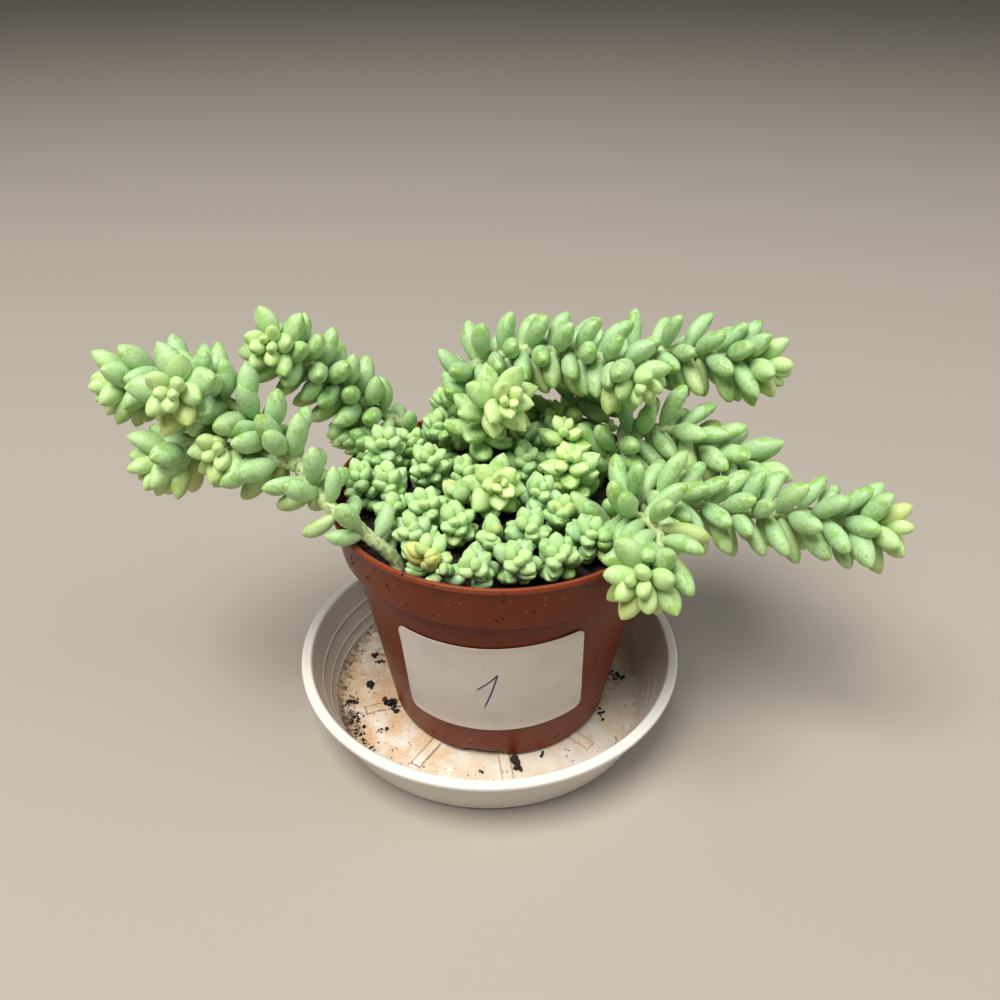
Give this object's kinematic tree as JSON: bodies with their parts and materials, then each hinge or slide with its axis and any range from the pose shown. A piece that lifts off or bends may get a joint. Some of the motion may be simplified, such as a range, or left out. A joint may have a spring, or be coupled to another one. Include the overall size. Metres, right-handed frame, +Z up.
{
  "type": "potted succulent",
  "caption": "Trailing succulent with plump overlapping leaves in a round nursery pot, standing in a round saucer, with a blank paper label on the pot.",
  "frame": {"origin": "centre of the flat underside of the saucer, on the surface that it stands on", "axes": "+Z up; -Y is the front, where the label is; +X to the right, along the longest stems"},
  "size_m": [0.27, 0.146, 0.1546],
  "materials": {
    "saucer_plastic": "off-white moulded plastic, semi-gloss, with dried water marks and bits of soil",
    "pot_plastic": "thin reddish brown nursery plastic, satin, lighter on the rim, with specks of soil",
    "label_paper": "uncoated pale grey label paper, slightly wrinkled",
    "potting_soil": "dark moist peat crumbs",
    "long_leaves": "waxy pale green skin with a powdery bloom",
    "young_leaves": "waxy mint green skin with a powdery bloom"
  },
  "bodies": {
    "root": {"saucer": "saucer_plastic", "pot": "pot_plastic", "label": "label_paper", "soil": "potting_soil", "stem_right_long": "long_leaves", "stem_front_right": "long_leaves", "stem_left": "long_leaves", "stem_left_back": "long_leaves", "stem_top": "long_leaves", "stem_back_right": "long_leaves", "stem_right_middle": "long_leaves", "stem_middle": "young_leaves", "head_front": "young_leaves", "head_back": "young_leaves", "spike_back": "young_leaves", "spike_front": "young_leaves", "shoot_over_rim": "young_leaves", "shoot_01": "young_leaves", "shoot_02": "young_leaves", "shoot_03": "young_leaves", "shoot_04": "young_leaves", "shoot_05": "young_leaves", "shoot_06": "young_leaves", "shoot_07": "young_leaves", "shoot_08": "young_leaves", "shoot_09": "young_leaves", "shoot_10": "young_leaves", "shoot_11": "young_leaves", "shoot_12": "young_leaves", "shoot_13": "young_leaves", "shoot_14": "young_leaves", "shoot_15": "young_leaves", "shoot_16": "young_leaves", "shoot_17": "young_leaves", "shoot_18": "young_leaves", "shoot_19": "young_leaves", "shoot_20": "young_leaves", "shoot_21": "young_leaves", "shoot_22": "young_leaves", "shoot_23": "young_leaves", "shoot_24": "young_leaves", "shoot_25": "young_leaves", "shoot_26": "young_leaves", "shoot_27": "young_leaves"}
  },
  "joints": []
}
